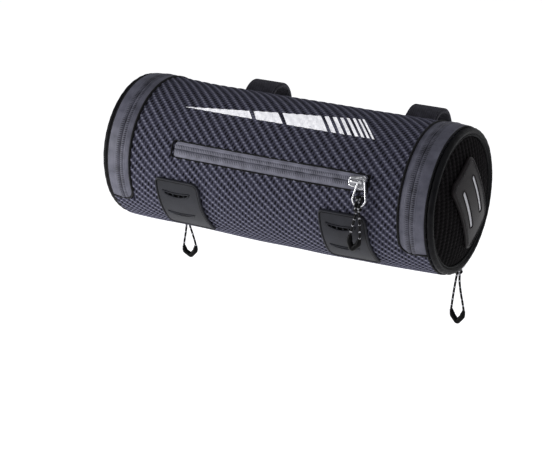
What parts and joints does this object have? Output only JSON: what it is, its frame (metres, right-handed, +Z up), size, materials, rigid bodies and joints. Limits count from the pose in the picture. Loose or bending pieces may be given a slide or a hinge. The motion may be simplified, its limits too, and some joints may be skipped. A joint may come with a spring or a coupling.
{
  "type": "bicycle handlebar bag",
  "caption": "Cylindrical padded knit handlebar bag with zipped round ends, a front pocket zip with cord pulls, rubber lash patches and webbing loops for the bar.",
  "frame": {"origin": "on the handlebar's axis, midway between the two straps", "axes": "+X along the handlebar and the bag, -Y to the front of the bag, +Z up"},
  "size_m": [0.2901, 0.1525, 0.1682],
  "materials": {
    "knit": "charcoal spacer knit with diagonal ribs and holes",
    "coated_fabric": "grey coated zip tape, matt with a soft sheen",
    "rim_fabric": "black padded binding",
    "ribbed_fabric": "near-black ribbed fabric",
    "rubber": "matt moulded rubber",
    "reflective_film": "silver-white reflective film",
    "webbing": "black woven webbing",
    "slider_metal": "bright nickel-plated casting",
    "wire_metal": "bright drawn wire",
    "cord": "black braid with light flecks",
    "moulded_plastic": "black moulded sleeve"
  },
  "bodies": {
    "root": {"bag_body": "knit", "zip_band_left": "coated_fabric", "zip_band_right": "coated_fabric", "pocket_zip": "coated_fabric", "end_rim_left": "rim_fabric", "end_rim_right": "rim_fabric", "end_panel_left": "ribbed_fabric", "end_panel_right": "ribbed_fabric", "lash_tab": "rubber", "patch_left": "rubber", "patch_right": "rubber", "reflector_front": "reflective_film", "reflector_rear": "reflective_film", "strap_left": "webbing", "strap_right": "webbing", "slider_pocket": "slider_metal", "slider_left": "slider_metal", "slider_right": "slider_metal", "pull_wire_pocket": "wire_metal", "pull_wire_left": "wire_metal", "pull_wire_right": "wire_metal", "pull_knot_pocket": "cord", "pull_knot_left": "cord", "pull_knot_right": "cord", "pull_cord_pocket": "cord", "pull_cord_left": "cord", "pull_cord_right": "cord", "pull_end_pocket": "moulded_plastic", "pull_end_left": "moulded_plastic", "pull_end_right": "moulded_plastic"}
  },
  "joints": []
}
